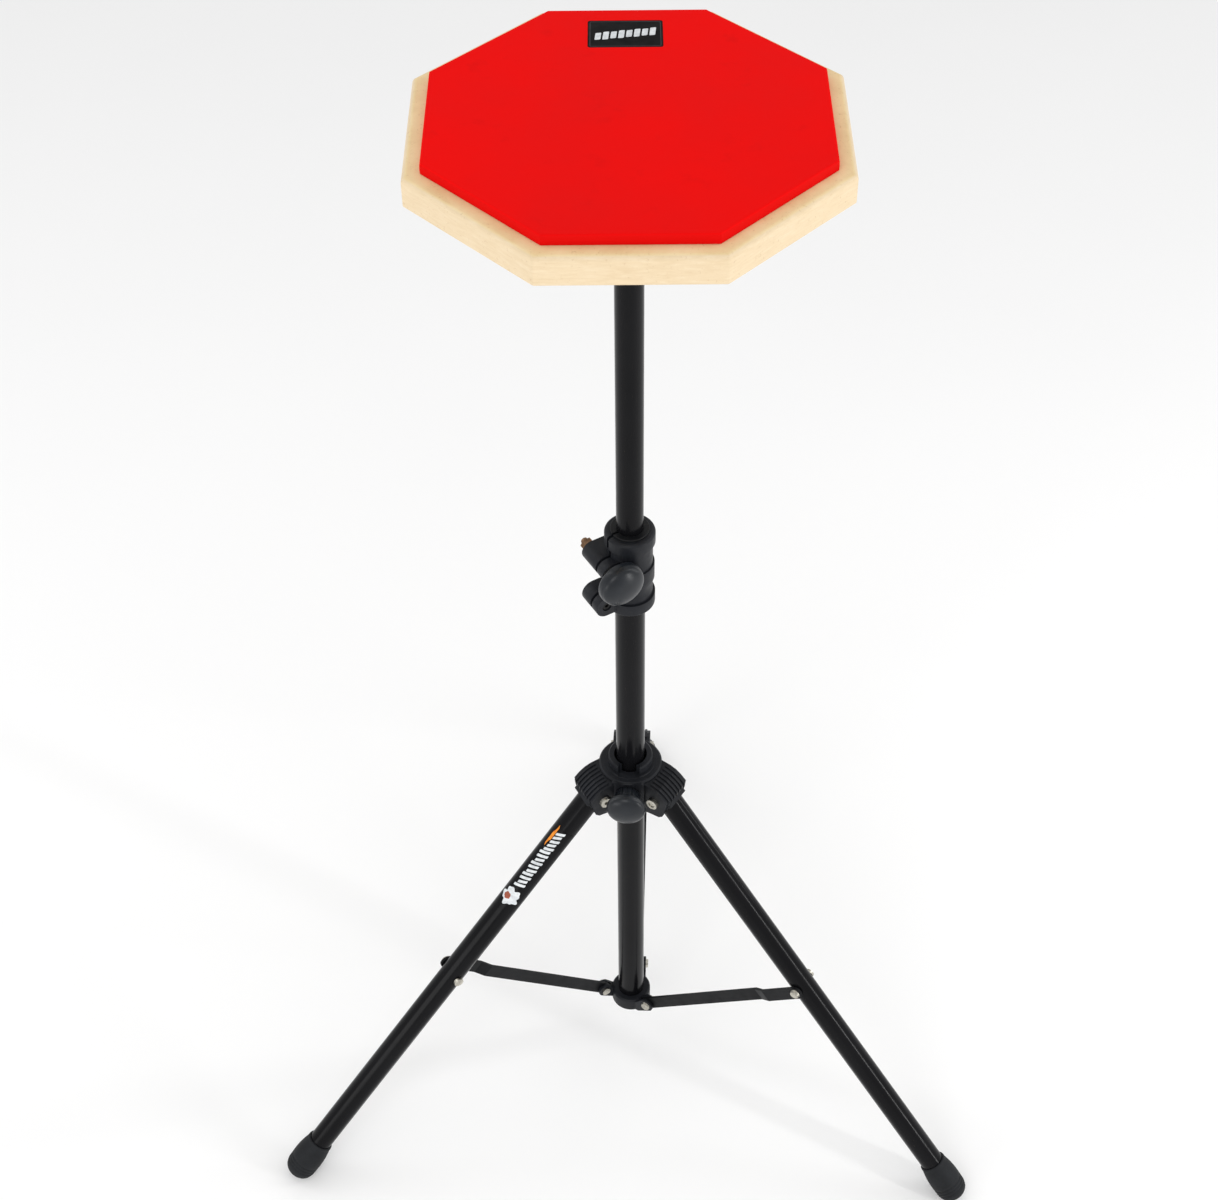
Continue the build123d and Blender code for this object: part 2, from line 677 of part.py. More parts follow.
def make_foot(turn, name):
    """Barrel-shaped rubber foot on the end of the leg tube, with a small flat sole."""
    start = leg_plane(turn, 0)
    section = Plane(origin=start.origin, x_dir=start.z_dir, z_dir=start.x_dir)
    top = foot_end - foot_length
    with BuildPart() as foot:
        with BuildSketch(section):
            with BuildLine():
                Polyline((top, 0), (top, 12.4), (top + 1.5, 13.2))
                ThreePointArc((top + 1.5, 13.2), (top + 24, foot_radius + 1.0), (foot_end - 8, foot_radius))
                ThreePointArc((foot_end - 8, foot_radius), (foot_end - 2.4, foot_radius - 2.6), (foot_end, 8.0))
                Polyline((foot_end, 8.0), (foot_end, 0), (top, 0))
            make_face()
        revolve(axis=Axis(start.origin, start.z_dir))
        with BuildSketch(leg_plane(turn, top - 1)):
            Circle(leg_tube_radius + press_clearance)
        extrude(amount=leg_tube_end - top + 1, mode=Mode.SUBTRACT)
        split(bisect_by=Plane.XY, keep=Keep.TOP)
    foot.part.label = name
    export_step(foot.part, f"parts/{name}.step")


# ---- braces ---------------------------------------------------------------
def brace_plane(turn):
    """Plane of a brace seen edge on: origin at the collar pivot, x along it, y clockwise."""
    along = (outward(turn) * brace_run + Vector(0, 0, brace_rise)) / brace_length
    origin = outward(turn) * brace_pivot_radius + Vector(0, 0, brace_pivot_height)
    return Plane(origin=origin, x_dir=along, z_dir=along.cross(sideways(turn)))


def make_brace(turn, name):
    """Flat steel brace with rounded ends and a joggle that carries it past the leg."""
    near = brace_offset - brace_thickness / 2
    far = brace_outer_offset - brace_thickness / 2
    first = brace_length - brace_joggle_start
    last = brace_length - brace_joggle_end
    tip = brace_length + brace_width / 2
    side = brace_plane(turn)
    flat = Plane(origin=side.origin, x_dir=side.x_dir, z_dir=side.y_dir)
    with BuildPart() as brace:
        with BuildSketch(side):
            with BuildLine():
                Polyline((-brace_width / 2, near), (first, near), (last, far), (tip, far))
                Polyline((tip, far), (tip, far + brace_thickness), (last - 0.8, far + brace_thickness))
                Line((last - 0.8, far + brace_thickness), (first - 0.8, near + brace_thickness))
                Line((first - 0.8, near + brace_thickness), (-brace_width / 2, near + brace_thickness))
                Line((-brace_width / 2, near + brace_thickness), (-brace_width / 2, near))
            make_face()
        extrude(amount=brace_width / 2, both=True)
        with BuildSketch(flat):
            with Locations((brace_length / 2, 0)):
                SlotOverall(brace_length + brace_width, brace_width)
        extrude(amount=20, mode=Mode.INTERSECT)
        with BuildSketch(flat):
            Circle(brace_pin_radius + slide_clearance)
            with Locations((brace_length, 0)):
                Circle(brace_pin_radius + press_clearance)
        extrude(amount=20, mode=Mode.SUBTRACT)
    brace.part.label = name
    export_step(brace.part, f"parts/{name}.step")


def make_brace_rivet(turn, name):
    """Rivet head at the outer end of a brace."""
    side = brace_plane(turn)
    flat = Plane(origin=side.origin, x_dir=side.x_dir, z_dir=side.y_dir)
    with BuildPart() as rivet:
        with BuildSketch(flat.offset(brace_outer_offset - brace_thickness / 2)):
            with Locations((brace_length, 0)):
                Circle(brace_pin_radius)
        extrude(amount=brace_thickness)
        with BuildSketch(flat.offset(brace_outer_offset + brace_thickness / 2)):
            with Locations((brace_length, 0)):
                Circle(4.8)
        extrude(amount=2.4, taper=20)
    rivet.part.label = name
    export_step(rivet.part, f"parts/{name}.step")


for side_name, leg_turn in leg_turns.items():
    make_leg_tube(leg_turn, f"leg_tube_{side_name}")
    make_leg_end(leg_turn, f"leg_end_{side_name}")
    make_brace_screw(leg_turn, f"brace_screw_{side_name}")
    make_foot(leg_turn, f"foot_{side_name}")
    make_brace(leg_turn, f"brace_{side_name}")
    make_brace_rivet(leg_turn, f"brace_rivet_{side_name}")

with BuildPart() as leg_decal:
    with BuildSketch(leg_plane(leg_turns["left"], 48)):
        Circle(leg_tube_radius + 0.3)
        Circle(leg_tube_radius + 0.05, mode=Mode.SUBTRACT)
        with Locations((20, 0)):
            Rectangle(40, 40, mode=Mode.SUBTRACT)
        with Locations((0, 22)):
            Rectangle(40, 40, mode=Mode.SUBTRACT)
    extrude(amount=108)
leg_decal.part.label = "leg_decal"
export_step(leg_decal.part, "parts/leg_decal.step")

# ---- lower collar ---------------------------------------------------------
ear_gap = brace_thickness + 0.6
ear_thickness = 3.0
collar_middle = (collar_bottom + collar_top) / 2

with BuildPart() as lower_collar:
    with BuildSketch(Plane.XY.offset(collar_bottom)):
        Circle(collar_radius)
    extrude(amount=collar_top - collar_bottom)
    chamfer(lower_collar.faces().sort_by(Axis.Z)[-1].edges(), 1.5)
    fillet(lower_collar.faces().sort_by(Axis.Z)[0].edges(), 2.0)
    for turn in leg_turns.values():
        with BuildSketch(fold_plane(turn, brace_offset - ear_gap / 2 - ear_thickness)):
            with Locations((brace_pivot_radius, brace_pivot_height)):
                Circle(7.0)
            with Locations((collar_radius - 4, collar_middle)):
                Rectangle(4, 11)
            make_hull()
        extrude(amount=2 * ear_thickness + ear_gap)
        with BuildSketch(fold_plane(turn, brace_offset - ear_gap / 2)):
            with Locations((brace_pivot_radius + 4, brace_pivot_height)):
                Rectangle(24, 40)
        extrude(amount=ear_gap, mode=Mode.SUBTRACT)
        with BuildSketch(fold_plane(turn, 0)):
            with Locations((brace_pivot_radius, brace_pivot_height)):
                Circle(brace_pin_radius + press_clearance)
        extrude(amount=30, mode=Mode.SUBTRACT)
    with BuildSketch(Plane.XY.offset(collar_bottom)):
        Circle(lower_tube_radius + press_clearance)
    extrude(amount=collar_top - collar_bottom, mode=Mode.SUBTRACT)
lower_collar.part.label = "lower_collar"
export_step(lower_collar.part, "parts/lower_collar.step")

with BuildPart() as collar_pins:
    for turn in leg_turns.values():
        pin_start = brace_offset - ear_gap / 2 - ear_thickness
        pin_end = brace_offset + ear_gap / 2 + ear_thickness
        with BuildSketch(fold_plane(turn, pin_start)):
            with Locations((brace_pivot_radius, brace_pivot_height)):
                Circle(brace_pin_radius)
        extrude(amount=pin_end - pin_start)
        with BuildSketch(fold_plane(turn, pin_end)):
            with Locations((brace_pivot_radius, brace_pivot_height)):
                Circle(4.6)
        extrude(amount=2.2, taper=15)
        with BuildSketch(fold_plane(turn, pin_start - 2.0)):
            with Locations((brace_pivot_radius, brace_pivot_height)):
                Circle(4.2)
        extrude(amount=2.0)
collar_pins.part.label = "collar_pins"
export_step(collar_pins.part, "parts/collar_pins.step")

# ---- fold travel ----------------------------------------------------------
folded_angle = 7.0
folded_slope = radians(folded_angle)
folded_run = brace_reach * sin(folded_slope) + leg_pivot_radius - brace_pivot_radius
folded_brace_angle = degrees(asin(folded_run / brace_length))
rest_gap = leg_pivot_height - brace_pivot_height
folded_gap = brace_reach * cos(folded_slope) + sqrt(brace_length**2 - folded_run**2)
print(f"hub travel {folded_gap - rest_gap:.3f} mm")
print(f"leg swing {leg_angle - folded_angle:.3f} deg")
print(f"brace swing {degrees(asin(brace_run / brace_length)) - folded_brace_angle:.3f} deg")
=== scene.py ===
import json
from math import cos, pi, radians, sin

import bpy
from mathutils import Matrix, Vector


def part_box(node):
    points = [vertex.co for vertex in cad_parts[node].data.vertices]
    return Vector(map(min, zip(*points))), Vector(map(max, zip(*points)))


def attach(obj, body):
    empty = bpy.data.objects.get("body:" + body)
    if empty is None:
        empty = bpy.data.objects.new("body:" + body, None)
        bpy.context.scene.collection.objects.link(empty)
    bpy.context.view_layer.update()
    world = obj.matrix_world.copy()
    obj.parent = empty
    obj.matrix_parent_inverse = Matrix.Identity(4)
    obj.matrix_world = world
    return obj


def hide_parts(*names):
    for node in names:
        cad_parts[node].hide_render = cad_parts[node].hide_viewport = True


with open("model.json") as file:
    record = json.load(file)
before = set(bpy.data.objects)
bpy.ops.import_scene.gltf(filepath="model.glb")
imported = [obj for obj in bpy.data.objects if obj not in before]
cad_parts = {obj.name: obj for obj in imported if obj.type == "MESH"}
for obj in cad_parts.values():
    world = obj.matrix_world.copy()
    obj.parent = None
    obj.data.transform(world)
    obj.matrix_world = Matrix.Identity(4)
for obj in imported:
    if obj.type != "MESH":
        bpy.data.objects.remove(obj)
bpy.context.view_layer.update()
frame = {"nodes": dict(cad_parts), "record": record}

nodes = frame["nodes"]
scene = bpy.context.scene
UP = Vector((0, 0, 1))

# ---- numbers shared with the model, in metres -----------------------------
TURN = {"left": 207.4, "right": 327.4, "rear": 87.4}
LEG_ANGLE = radians(40.6)
PIVOT_R, PIVOT_Z = 0.034, 0.394
KNOB_TURN = 264.4
CLAMP_TURN = 210.6
CLAMP_KNOB_R, CLAMP_KNOB_Z = 0.0225, 0.667
HUB_KNOB_Z = 0.400
FOOT_END, FOOT_LENGTH = 513.0, 45.0
STICKER_R = 0.01134
MM = 0.001


def outward(turn):
    return Vector((cos(radians(turn)), sin(radians(turn)), 0))


def sideways(turn):
    return Vector((sin(radians(turn)), -cos(radians(turn)), 0))


def leg_along(turn):
    return outward(turn) * sin(LEG_ANGLE) - UP * cos(LEG_ANGLE)


def leg_pivot(turn):
    return outward(turn) * PIVOT_R + UP * PIVOT_Z


# ---- materials ------------------------------------------------------------
def linear(r, g, b):
    """sRGB 0-255 to linear RGBA."""
    out = []
    for c in (r, g, b):
        c = c / 255
        out.append(c / 12.92 if c <= 0.04045 else ((c + 0.055) / 1.055) ** 2.4)
    return (*out, 1.0)


class Mat:
    """A material with a Principled shader and short calls to add nodes to it."""

    def __init__(self, name, color, rough, metallic=0.0, specular=0.5):
        self.mat = bpy.data.materials.new(name)
        self.mat.use_nodes = True
        self.tree = self.mat.node_tree
        self.bsdf = self.tree.nodes["Principled BSDF"]
        self.bsdf.inputs["Base Color"].default_value = color
        self.bsdf.inputs["Roughness"].default_value = rough
        self.bsdf.inputs["Metallic"].default_value = metallic
        self.bsdf.inputs["Specular IOR Level"].default_value = specular
        self.mat.diffuse_color = color
        self.coord = self.node("ShaderNodeTexCoord").outputs["Object"]

    def node(self, kind, inputs=None, **settings):
        n = self.tree.nodes.new(kind)
        for key, value in settings.items():
            setattr(n, key, value)
        for key, value in (inputs or {}).items():
            if isinstance(value, bpy.types.NodeSocket):
                self.tree.links.new(value, n.inputs[key])
            else:
                n.inputs[key].default_value = value
        return n

    def link(self, out, target):
        self.tree.links.new(out, self.bsdf.inputs[target])

    def scaled(self, scale, rotation=(0, 0, 0)):
        inputs = {"Vector": self.coord, "Scale": scale, "Rotation": rotation}
        return self.node("ShaderNodeMapping", inputs).outputs["Vector"]

    def noise(self, scale, detail=4.0, rough=0.55, vector=None, distortion=0.0):
        n = self.node(
            "ShaderNodeTexNoise",
            {
                "Vector": vector or self.coord,
                "Scale": scale,
                "Detail": detail,
                "Roughness": rough,
                "Distortion": distortion,
            },
        )
        return n.outputs["Fac"]

    def voronoi(self, scale):
        n = self.node("ShaderNodeTexVoronoi", {"Vector": self.coord, "Scale": scale})
        return n.outputs["Distance"]

    def ramp(self, fac, stops):
        n = self.node("ShaderNodeValToRGB", {"Fac": fac})
        bar = n.color_ramp
        while len(bar.elements) < len(stops):
            bar.elements.new(0.5)
        for element, (pos, color) in zip(bar.elements, stops):
            element.position = pos
            element.color = color
        return n.outputs["Color"]

    def span(self, fac, low, high, out_low, out_high):
        inputs = {"Value": fac, "From Min": low, "From Max": high, "To Min": out_low, "To Max": out_high}
        return self.node("ShaderNodeMapRange", inputs).outputs["Result"]

    def mix(self, fac, a, b):
        n = self.node("ShaderNodeMix", data_type="RGBA")
        for socket, value in ((n.inputs[0], fac), (n.inputs[6], a), (n.inputs[7], b)):
            if isinstance(value, bpy.types.NodeSocket):
                self.tree.links.new(value, socket)
            else:
                socket.default_value = value
        return n.outputs[2]

    def math(self, kind, a, b):
        return self.node("ShaderNodeMath", {0: a, 1: b}, operation=kind).outputs[0]

    def bump(self, height, strength, distance, under=None):
        inputs = {"Height": height, "Strength": strength, "Distance": distance}
        if under is not None:
            inputs["Normal"] = under
        return self.node("ShaderNodeBump", inputs).outputs["Normal"]

    def normal_z(self):
        geo = self.node("ShaderNodeNewGeometry")
        return self.node("ShaderNodeSeparateXYZ", {"Vector": geo.outputs["Normal"]}).outputs["Z"]


def painted_steel():
    """Gloss black powder coat: orange peel, dust nibs, fine handling scuffs, uneven gloss."""
    m = Mat("black_powder_coat", linear(14, 14, 16), 0.24, specular=0.1)
    tone = m.noise(9.0, 5.0)
    body = m.ramp(tone, [(0.3, linear(11, 11, 13)), (0.7, linear(19, 19, 21))])
    scuffs = m.noise(40.0, 9.0, 0.75, m.scaled((6.0, 6.0, 0.7)), 0.6)
    rubbed = m.span(scuffs, 0.66, 0.78, 0.0, 0.5)
    m.link(m.mix(rubbed, body, linear(46, 46, 49)), "Base Color")
    gloss = m.span(m.noise(55.0, 6.0), 0.3, 0.7, 0.13, 0.23)
    m.link(m.math("ADD", gloss, m.math("MULTIPLY", rubbed, 0.25)), "Roughness")
    peel = m.bump(m.noise(620.0, 2.0, 0.4), 0.18, 0.0001)
    nibs = m.span(m.voronoi(240.0), 0.0, 0.06, 1.0, 0.0)
    m.link(m.bump(nibs, 0.14, 0.0001, peel), "Normal")
    return m.mat


def strip_paint():
    """Satin black paint on flat strip: long scuffs, drier patches and faint brush-off lines."""
    m = Mat("black_strip_paint", linear(18, 19, 21), 0.38, specular=0.09)
    tone = m.noise(14.0, 6.0)
    body = m.ramp(tone, [(0.3, linear(14, 15, 17)), (0.72, linear(25, 26, 28))])
    rubbed = m.span(m.noise(75.0, 9.0, 0.75, None, 0.8), 0.64, 0.76, 0.0, 0.45)
    m.link(m.mix(rubbed, body, linear(60, 60, 62)), "Base Color")
    m.link(m.span(m.noise(90.0, 6.0), 0.3, 0.7, 0.3, 0.5), "Roughness")
    m.link(m.bump(m.noise(480.0, 3.0), 0.25, 0.00015), "Normal")
    return m.mat


def moulded(name, dark, light, rough=(0.36, 0.52), grain=1400.0, depth=0.3, specular=0.16):
    """Moulded or blackened surface: fine grain, cloudy tone, paler rubbed spots."""
    m = Mat(name, dark, rough[0], specular=specular)
    tone = m.noise(24.0, 6.0, 0.6)
    body = m.ramp(tone, [(0.28, dark), (0.75, light)])
    rubbed = m.span(m.noise(160.0, 8.0, 0.7, None, 0.5), 0.62, 0.76, 0.0, 0.35)
    m.link(m.mix(rubbed, body, linear(72, 74, 78)), "Base Color")
    m.link(m.span(m.noise(130.0, 5.0), 0.3, 0.7, *rough), "Roughness")
    fine = m.bump(m.noise(grain, 3.0, 0.6), depth, 0.00012)
    m.link(m.bump(m.voronoi(grain * 0.55), depth * 0.6, 0.0001, fine), "Normal")
    return m.mat


def foot_rubber():
    """Matt black rubber with bloom, fine pitting and floor dust low down."""
    m = Mat("foot_rubber", linear(24, 25, 27), 0.6, specular=0.16)
    bloom = m.noise(45.0, 7.0, 0.65)
    body = m.ramp(bloom, [(0.3, linear(19, 20, 22)), (0.75, linear(38, 40, 43))])
    height = m.node("ShaderNodeSeparateXYZ", {"Vector": m.coord}).outputs["Z"]
    dust = m.span(m.math("ADD", height, m.math("MULTIPLY", bloom, 0.006)), 0.003, 0.009, 0.35, 0.0)
    m.link(m.mix(dust, body, linear(112, 106, 98)), "Base Color")
    m.link(m.span(bloom, 0.3, 0.7, 0.5, 0.72), "Roughness")
    m.link(m.bump(m.noise(900.0, 4.0), 0.35, 0.0002), "Normal")
    return m.mat


def red_rubber():
    """Moulded red playing rubber: fine matt pebble, faint mottling and stick marks; the side walls are
    painted a darker red as painted shade.
    """
    m = Mat("red_rubber", linear(234, 12, 11), 0.7, specular=0.05)
    cloud = m.noise(11.0, 6.0, 0.6)
    body = m.ramp(cloud, [(0.3, linear(230, 5, 5)), (0.7, linear(238, 8, 7))])
    spots = m.span(m.noise(34.0, 6.0, 0.6), 0.6, 0.72, 0.0, 0.5)
    body = m.mix(spots, body, linear(220, 8, 8))
    scuff = m.noise(70.0, 8.0, 0.7, m.scaled((1.0, 0.35, 1.0), (0, 0, 0.6)), 0.4)
    marks = m.span(scuff, 0.66, 0.8, 0.0, 0.16)
    worn = m.mix(marks, body, linear(242, 44, 36))
    # painted shade: faces turned away from upright get a darker red (220, 9, 8), standing in for the shade
    # on the pad's side walls
    painted_wall_shade = m.span(m.normal_z(), 0.35, 0.85, 1.0, 0.0)
    m.link(m.mix(painted_wall_shade, worn, linear(220, 9, 8)), "Base Color")
    m.link(m.span(cloud, 0.3, 0.7, 0.62, 0.78), "Roughness")
    pebble = m.bump(m.noise(1500.0, 3.0, 0.5), 0.3, 0.00012)
    m.link(m.bump(m.noise(180.0, 4.0), 0.12, 0.00015, pebble), "Normal")
    return m.mat


def board_wood():
    """Pale lacquered fibre board: cream edge, fine fibres and specks; the upward faces are painted a darker
    tan as painted shade of the top face.
    """
    m = Mat("board_wood", linear(236, 214, 172), 0.45, specular=0.2)
    fibres = m.noise(60.0, 8.0, 0.7, m.scaled((1.3, 1.3, 9.0)), 0.3)
    edge_stops = [(0.25, linear(220, 197, 160)), (0.55, linear(228, 207, 173)), (0.8, linear(234, 217, 188))]
    edge = m.ramp(fibres, edge_stops)
    clouds = m.noise(38.0, 7.0, 0.65)
    # painted shade: upward faces get a darker tan ramp than the cream edges, standing in for the dimmer
    # light on the top face
    shaded_top_stops = [(0.3, linear(224, 197, 147)), (0.5, linear(233, 209, 160)), (0.75, linear(240, 219, 174))]
    face = m.ramp(clouds, shaded_top_stops)
    top_shade_mask = m.span(m.normal_z(), 0.8, 0.98, 0.0, 1.0)
    tone = m.mix(top_shade_mask, edge, face)
    specks = m.span(m.noise(420.0, 4.0, 0.7), 0.6, 0.72, 0.0, 0.45)
    tone = m.mix(specks, tone, linear(180, 140, 92))
    grime = m.span(m.noise(30.0, 6.0, 0.6), 0.6, 0.78, 0.0, 0.2)
    m.link(m.mix(grime, tone, linear(196, 160, 114)), "Base Color")
    m.link(m.span(clouds, 0.3, 0.7, 0.4, 0.55), "Roughness")
    m.link(m.bump(fibres, 0.12, 0.0002), "Normal")
    return m.mat


def metal(name, dark, light, rough=(0.22, 0.38), grain=700.0):
    """Plated metal: cloudy plating, turning marks and dull handled spots."""
    m = Mat(name, light, rough[0], metallic=1.0)
    tone = m.noise(180.0, 6.0, 0.6)
    m.link(m.ramp(tone, [(0.3, dark), (0.7, light)]), "Base Color")
    m.link(m.span(m.noise(320.0, 5.0), 0.3, 0.7, *rough), "Roughness")
    m.link(m.bump(m.noise(grain, 3.0), 0.15, 0.00006), "Normal")
    return m.mat


def label_black():
    """Woven black label: fine threads both ways."""
    m = Mat("label_black", linear(10, 10, 12), 0.5, specular=0.07)
    threads = []
    for direction, scale in (("X", 420.0), ("Y", 360.0)):
        inputs = {"Vector": m.coord, "Scale": scale, "Distortion": 0.4}
        threads.append(m.node("ShaderNodeTexWave", inputs, bands_direction=direction).outputs["Fac"])
    weave = m.math("MULTIPLY", *threads)
    tone = m.math("ADD", m.math("MULTIPLY", weave, 0.5), m.math("MULTIPLY", m.noise(60.0, 5.0), 0.5))
    m.link(m.ramp(tone, [(0.15, linear(4, 4, 5)), (0.75, linear(15, 15, 17))]), "Base Color")
    m.link(m.span(m.noise(90.0), 0.3, 0.7, 0.42, 0.6), "Roughness")
    m.link(m.bump(weave, 0.3, 0.0001), "Normal")
    return m.mat


def ink(name, dark, light, rough=0.5):
    """Printed ink, slightly uneven in coverage."""
    m = Mat(name, light, rough, specular=0.2)
    m.link(m.ramp(m.noise(260.0, 6.0, 0.65), [(0.3, dark), (0.6, light)]), "Base Color")
    m.link(m.span(m.noise(400.0), 0.3, 0.7, rough - 0.06, rough + 0.08), "Roughness")
    m.link(m.bump(m.noise(900.0, 2.0), 0.1, 0.00005), "Normal")
    return m.mat


def floor_paper():
    """Pale seamless paper."""
    m = Mat("floor_paper", (0.94, 0.94, 0.94, 1), 0.85, specular=0.05)
    stops = [(0.3, (0.935, 0.935, 0.935, 1)), (0.7, (0.95, 0.95, 0.95, 1))]
    m.link(m.ramp(m.noise(1.2, 3.0), stops), "Base Color")
    m.link(m.bump(m.noise(300.0, 3.0), 0.05, 0.0002), "Normal")
    return m.mat


PAINT = painted_steel()
STRAP = strip_paint()
NYLON = moulded("black_nylon", linear(19, 20, 23), linear(34, 36, 41))
KNOB = moulded(
    "knob_nylon", linear(17, 20, 24), linear(30, 34, 40), (0.27, 0.35), grain=1100.0, depth=0.1, specular=0.3
)
BUSH = moulded("bush_acetal", linear(14, 15, 17), linear(24, 25, 27), (0.35, 0.5))
BLACK_STEEL = moulded(
    "black_steel", linear(8, 8, 9), linear(15, 15, 16), (0.3, 0.45), grain=800.0, depth=0.15, specular=0.15
)
RUBBER = foot_rubber()
RED = red_rubber()
WOOD = board_wood()
ZINC = metal("zinc_plate", linear(150, 147, 138), linear(212, 208, 196))
BRASS = metal("brass_nut", linear(92, 70, 54), linear(142, 112, 86))
LABEL = label_black()
WHITE = ink("ink_white", linear(190, 194, 198), linear(224, 228, 230))
ORANGE = ink("ink_orange", linear(206, 104, 24), linear(240, 150, 46))
BROWN = ink("ink_brown", linear(120, 62, 48), linear(168, 92, 70))
GREY = ink("ink_grey", linear(34, 34, 38), linear(52, 52, 56))


# ---- mesh helpers ---------------------------------------------------------
def new_piece(name, verts, faces, material, body, sharp=32.0, replaces=()):
    """A mesh piece that rides on a CAD body."""
    mesh = bpy.data.meshes.new(name)
    mesh.from_pydata([tuple(v) for v in verts], [], faces)
    mesh.validate()
    mesh.materials.append(material)
    mesh.polygons.foreach_set("use_smooth", [True] * len(mesh.polygons))
    mesh.update()
    mesh.set_sharp_from_angle(angle=radians(sharp))
    obj = bpy.data.objects.new(name, mesh)
    scene.collection.objects.link(obj)
    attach(obj, body)
    if replaces:
        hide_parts(*replaces)
    return obj


def basis(axis):
    """Two directions square to a unit axis; the first is as near to upright as it can be."""
    first = UP if abs(axis.z) < 0.9 else Vector((1, 0, 0))
    u = (first - axis * first.dot(axis)).normalized()
    return u, axis.cross(u)


def loft(rings, origin, axis, sides=64):
    """Skins rings [(distance along the axis, radius or function of angle), ...] and closes the ends."""
    axis = axis.normalized()
    u, v = basis(axis)
    verts, faces = [], []
    for along, radius in rings:
        for k in range(sides):
            a = 2 * pi * k / sides
            r = radius(a) if callable(radius) else radius
            verts.append(origin + axis * along + u * (r * cos(a)) + v * (r * sin(a)))
    for i in range(len(rings) - 1):
        for k in range(sides):
            n = (k + 1) % sides
            faces.append((i * sides + k, i * sides + n, (i + 1) * sides + n, (i + 1) * sides + k))
    for i, flip in ((0, True), (len(rings) - 1, False)):
        centre = len(verts)
        verts.append(origin + axis * rings[i][0])
        for k in range(sides):
            a, b = i * sides + k, i * sides + (k + 1) % sides
            faces.append((b, a, centre) if flip else (a, b, centre))
    return verts, faces


def joined(*shells):
    """Several (verts, faces) shells as one."""
    verts, faces = [], []
    for v, f in shells:
        base = len(verts)
        verts += list(v)
        faces += [tuple(i + base for i in face) for face in f]
    return verts, faces


def octagon(width, corner, inset=0.0, steps=4):
    """Points round an octagon of that width across flats, with rounded corners."""
    flat = width / 2 - inset
    r = max(corner - inset, 0.0002)
    pts = []
    for k in range(8):
        a = radians(22.5 + 45 * k)
        centre = (flat - r) / cos(radians(22.5))
        for i in range(steps + 1):
            b = a + radians(45) * (i / steps - 0.5)
            pts.append((centre * cos(a) + r * cos(b), centre * sin(a) + r * sin(b)))
    return pts


# ---- playing head ---------------------------------------------------------
def build_playing_rubber():
    """Rubber octagon with a soft top edge, a moulded parting line and the label pocket."""
    width, z0, z1 = 0.275, 1.070, 1.078
    levels = [(z0 + 0.0001, 0.0006), (z0 + 0.0006, 0.0001), (z0 + 0.0030, 0.0), (z0 + 0.00315, 0.00018)]
    levels += [(z0 + 0.0033, 0.0), (z1 - 0.0016, 0.0001)]
    for i in range(1, 7):
        a = pi / 2 * i / 6
        levels.append((z1 - 0.00005 - 0.0015 * (1 - sin(a)), 0.0001 + 0.0015 * (1 - cos(a))))
    for inset in (0.004, 0.010, 0.025, 0.05, 0.08, 0.11):
        levels.append((z1 - 0.00002, inset))
    verts, faces = [], []
    for z, inset in levels:
        verts += [(x, y, z) for x, y in octagon(width, 0.0016, inset)]
    n = len(octagon(width, 0.0016))
    for i in range(len(levels) - 1):
        for k in range(n):
            m = (k + 1) % n
            faces.append((i * n + k, i * n + m, (i + 1) * n + m, (i + 1) * n + k))
    faces.append(tuple(range(n - 1, -1, -1)))
    faces.append(tuple((len(levels) - 1) * n + k for k in range(n)))
    obj = new_piece("playing_rubber", verts, faces, RED, "head", 40, ("striking_pad",))
    low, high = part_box("label_patch")
    grow = 0.0002
    cutter_mesh = bpy.data.meshes.new("pocket_cutter")
    outline = rounded_rect(low.x - grow, high.x + grow, low.y - grow, high.y + grow, 0.0021)
    count = len(outline)
    pts = [(x, y, low.z) for x, y in outline] + [(x, y, z1 + 0.001) for x, y in outline]
    sides = [(k, (k + 1) % count, count + (k + 1) % count, count + k) for k in range(count)]
    caps = [tuple(range(count - 1, -1, -1)), tuple(range(count, 2 * count))]
    cutter_mesh.from_pydata(pts, [], sides + caps)
    cutter = bpy.data.objects.new("pocket_cutter", cutter_mesh)
    scene.collection.objects.link(cutter)
    cut = obj.modifiers.new("pocket", "BOOLEAN")
    cut.operation = "DIFFERENCE"
    cut.solver = "EXACT"
    cut.object = cutter
    bpy.context.view_layer.update()
    done = bpy.data.meshes.new_from_object(obj.evaluated_get(bpy.context.evaluated_depsgraph_get()))
    obj.modifiers.clear()
    obj.data = done
    obj.data.set_sharp_from_angle(angle=radians(40))
    bpy.data.objects.remove(cutter)


def rounded_rect(x0, x1, y0, y1, r, steps=6):
    """Points round a rectangle with rounded corners."""
    pts = []
    corners = ((x1 - r, y1 - r, 0), (x0 + r, y1 - r, 90), (x0 + r, y0 + r, 180), (x1 - r, y0 + r, 270))
    for cx, cy, start in corners:
        for i in range(steps + 1):
            a = radians(start + 90 * i / steps)
            pts.append((cx + r * cos(a), cy + r * sin(a)))
    return pts


def flat_ring(outer, inner, z0, z1):
    """A flat frame between two outlines with the same number of points."""
    n = len(outer)
    verts = [(x, y, z0) for x, y in outer] + [(x, y, z1) for x, y in outer]
    verts += [(x, y, z1) for x, y in inner] + [(x, y, z0) for x, y in inner]
    faces = []
    for k in range(n):
        m = (k + 1) % n
        for a, b in ((0, 1), (1, 2), (2, 3), (3, 0)):
            faces.append((a * n + k, a * n + m, b * n + m, b * n + k))
    return verts, faces


def slab(outline, z0, z1):
    """A flat plate of an outline."""
    n = len(outline)
    verts = [(x, y, z0) for x, y in outline] + [(x, y, z1) for x, y in outline]
    faces = [(k, (k + 1) % n, n + (k + 1) % n, n + k) for k in range(n)]
    faces += [tuple(range(n - 1, -1, -1)), tuple(range(n, 2 * n))]
    return verts, faces


